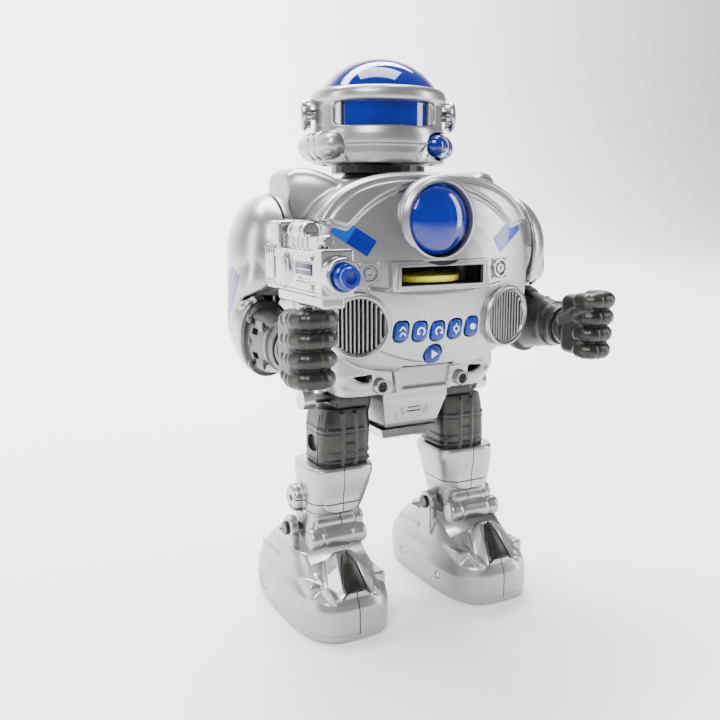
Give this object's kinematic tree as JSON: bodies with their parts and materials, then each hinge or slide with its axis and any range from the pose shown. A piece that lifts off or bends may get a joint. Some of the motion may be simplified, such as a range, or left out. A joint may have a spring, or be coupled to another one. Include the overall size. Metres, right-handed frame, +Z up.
{
  "type": "walking toy robot",
  "caption": "Standing humanoid toy robot with turning helmeted head, swinging arms, walking legs, a chest disc slot and light, and a blaster in its right hand.",
  "frame": {"origin": "on the floor, under the middle of the robot's overall box", "axes": "+Z up, -Y the way the robot faces, +X to the robot's left"},
  "size_m": [0.193, 0.2, 0.31],
  "materials": {
    "silver_paint": "metallic silver lacquer on ABS",
    "bright_silver": "brighter, smoother silver lacquer",
    "gunmetal": "dark gunmetal plastic, satin",
    "blue_clear": "translucent blue plastic",
    "blue_solid": "blue button plastic",
    "yellow_foam": "closed-cell foam",
    "grey_rubber": "grey rubber",
    "inner_plastic": "unpainted moulding",
    "motor_steel": "plated steel"
  },
  "bodies": {
    "torso": {"chest_front_shell": "silver_paint", "back_shell": "silver_paint", "shoulder_yoke": "silver_paint", "lens_bezel": "silver_paint", "chest_lens": "blue_clear", "lens_lamp": "inner_plastic", "disc_slot_frame": "silver_paint", "right_speaker_grille": "silver_paint", "left_speaker_grille": "silver_paint", "speaker": "inner_plastic", "pelvis_block": "silver_paint", "crotch_guard": "bright_silver", "hip_axle": "motor_steel", "walk_gearbox": "inner_plastic", "walk_motor": "motor_steel", "battery_case": "inner_plastic", "circuit_board": "inner_plastic", "disc_magazine": "inner_plastic", "neck_collar": "gunmetal"},
    "head": {"helmet_face": "silver_paint", "helmet_back": "silver_paint", "crown_dome": "blue_clear", "visor": "blue_clear", "right_ear_pod": "bright_silver", "left_ear_pod": "bright_silver", "right_cheek_lamp": "blue_clear", "left_cheek_lamp": "blue_clear", "head_turntable": "gunmetal"},
    "disc": {"foam_disc": "yellow_foam"},
    "launch_wheel": {"launch_wheel": "inner_plastic"},
    "battery_cover": {"battery_cover": "silver_paint"},
    "power_switch": {"power_switch": "gunmetal"},
    "button_walk": {"button_walk": "blue_solid"},
    "button_turn_left": {"button_turn_left": "blue_solid"},
    "button_turn_right": {"button_turn_right": "blue_solid"},
    "button_gun": {"button_gun": "blue_solid"},
    "button_disc": {"button_disc": "blue_solid"},
    "button_go": {"button_go": "blue_solid"},
    "right_arm": {"right_shoulder_hub": "silver_paint", "right_upper_arm": "silver_paint", "right_glove": "gunmetal"},
    "right_hand": {"right_fist": "gunmetal", "gun_body": "bright_silver", "gun_muzzle": "blue_clear"},
    "right_leg": {"right_thigh": "gunmetal", "right_shin": "silver_paint"},
    "right_foot": {"right_foot": "silver_paint", "right_toe_insert": "gunmetal", "right_ankle_pin": "motor_steel"},
    "right_roller": {"right_heel_roller": "grey_rubber"},
    "left_arm": {"left_shoulder_hub": "silver_paint", "left_upper_arm": "silver_paint", "left_glove": "gunmetal"},
    "left_hand": {"left_fist": "gunmetal"},
    "left_leg": {"left_thigh": "gunmetal", "left_shin": "silver_paint"},
    "left_foot": {"left_foot": "silver_paint", "left_toe_insert": "gunmetal", "left_ankle_pin": "motor_steel"},
    "left_roller": {"left_heel_roller": "grey_rubber"}
  },
  "joints": [
    {"name": "head_turn", "type": "hinge", "parent": "torso", "child": "head", "pos_m": [0, 0.0336, 0.25], "axis": [0, 0, 1], "range_deg": [-20, 58]},
    {"name": "right_shoulder_swing", "type": "hinge", "parent": "torso", "child": "right_arm", "pos_m": [-0.083, 0.0146, 0.206], "axis": [-1, 0, 0], "range_deg": [-15, 60]},
    {"name": "right_wrist_turn", "type": "hinge", "parent": "right_arm", "child": "right_hand", "pos_m": [-0.083, -0.0369, 0.1615], "axis": [0, 1, 0], "range_deg": [-45, 8]},
    {"name": "right_hip_swing", "type": "hinge", "parent": "torso", "child": "right_leg", "pos_m": [0, 0.0116, 0.124], "axis": [1, 0, 0], "range_deg": [-12, 12]},
    {"name": "right_ankle_tilt", "type": "hinge", "parent": "right_leg", "child": "right_foot", "pos_m": [-0.0455, 0.0156, 0.05], "axis": [1, 0, 0], "range_deg": [-12, 12]},
    {"name": "right_roller_spin", "type": "hinge", "parent": "right_foot", "child": "right_roller", "pos_m": [-0.047, 0.0596, 0.0105], "axis": [1, 0, 0], "continuous": true},
    {"name": "left_shoulder_swing", "type": "hinge", "parent": "torso", "child": "left_arm", "pos_m": [0.083, 0.0146, 0.206], "axis": [-1, 0, 0], "range_deg": [-15, 60]},
    {"name": "left_wrist_turn", "type": "hinge", "parent": "left_arm", "child": "left_hand", "pos_m": [0.083, -0.0369, 0.1615], "axis": [0, -1, 0], "range_deg": [-45, 45]},
    {"name": "left_hip_swing", "type": "hinge", "parent": "torso", "child": "left_leg", "pos_m": [0, 0.0116, 0.124], "axis": [1, 0, 0], "range_deg": [-12, 12]},
    {"name": "left_ankle_tilt", "type": "hinge", "parent": "left_leg", "child": "left_foot", "pos_m": [0.0455, 0.0156, 0.05], "axis": [1, 0, 0], "range_deg": [-12, 12]},
    {"name": "left_roller_spin", "type": "hinge", "parent": "left_foot", "child": "left_roller", "pos_m": [0.047, 0.0596, 0.0105], "axis": [1, 0, 0], "continuous": true},
    {"name": "button_walk_press", "type": "slide", "parent": "torso", "child": "button_walk", "axis": [0, 1, 0], "range_m": [0, 0.0015], "stiffness_N_per_m": 300},
    {"name": "button_turn_left_press", "type": "slide", "parent": "torso", "child": "button_turn_left", "axis": [0, 1, 0], "range_m": [0, 0.0015], "stiffness_N_per_m": 300},
    {"name": "button_turn_right_press", "type": "slide", "parent": "torso", "child": "button_turn_right", "axis": [0, 1, 0], "range_m": [0, 0.0015], "stiffness_N_per_m": 300},
    {"name": "button_gun_press", "type": "slide", "parent": "torso", "child": "button_gun", "axis": [0, 1, 0], "range_m": [0, 0.0015], "stiffness_N_per_m": 300},
    {"name": "button_disc_press", "type": "slide", "parent": "torso", "child": "button_disc", "axis": [0, 1, 0], "range_m": [0, 0.0015], "stiffness_N_per_m": 300},
    {"name": "button_go_press", "type": "slide", "parent": "torso", "child": "button_go", "axis": [0, 1, 0], "range_m": [0, 0.0015], "stiffness_N_per_m": 300},
    {"name": "disc_launch", "type": "slide", "parent": "torso", "child": "disc", "axis": [0, -1, 0], "range_m": [0, 0.03]},
    {"name": "launch_wheel_spin", "type": "hinge", "parent": "torso", "child": "launch_wheel", "pos_m": [0.0312, 0.0006, 0.1876], "axis": [0, 0, 1], "continuous": true},
    {"name": "battery_cover_open", "type": "slide", "parent": "torso", "child": "battery_cover", "axis": [0, 1, 0], "range_m": [0, 0.012]},
    {"name": "power_switch_slide", "type": "slide", "parent": "torso", "child": "power_switch", "axis": [1, 0, 0], "range_m": [0, 0.005]}
  ],
  "couplings": [
    {"joint": "left_hip_swing", "follows": "right_hip_swing", "ratio": -1},
    {"joint": "right_ankle_tilt", "follows": "right_hip_swing", "ratio": -1},
    {"joint": "left_ankle_tilt", "follows": "right_hip_swing", "ratio": 1}
  ]
}
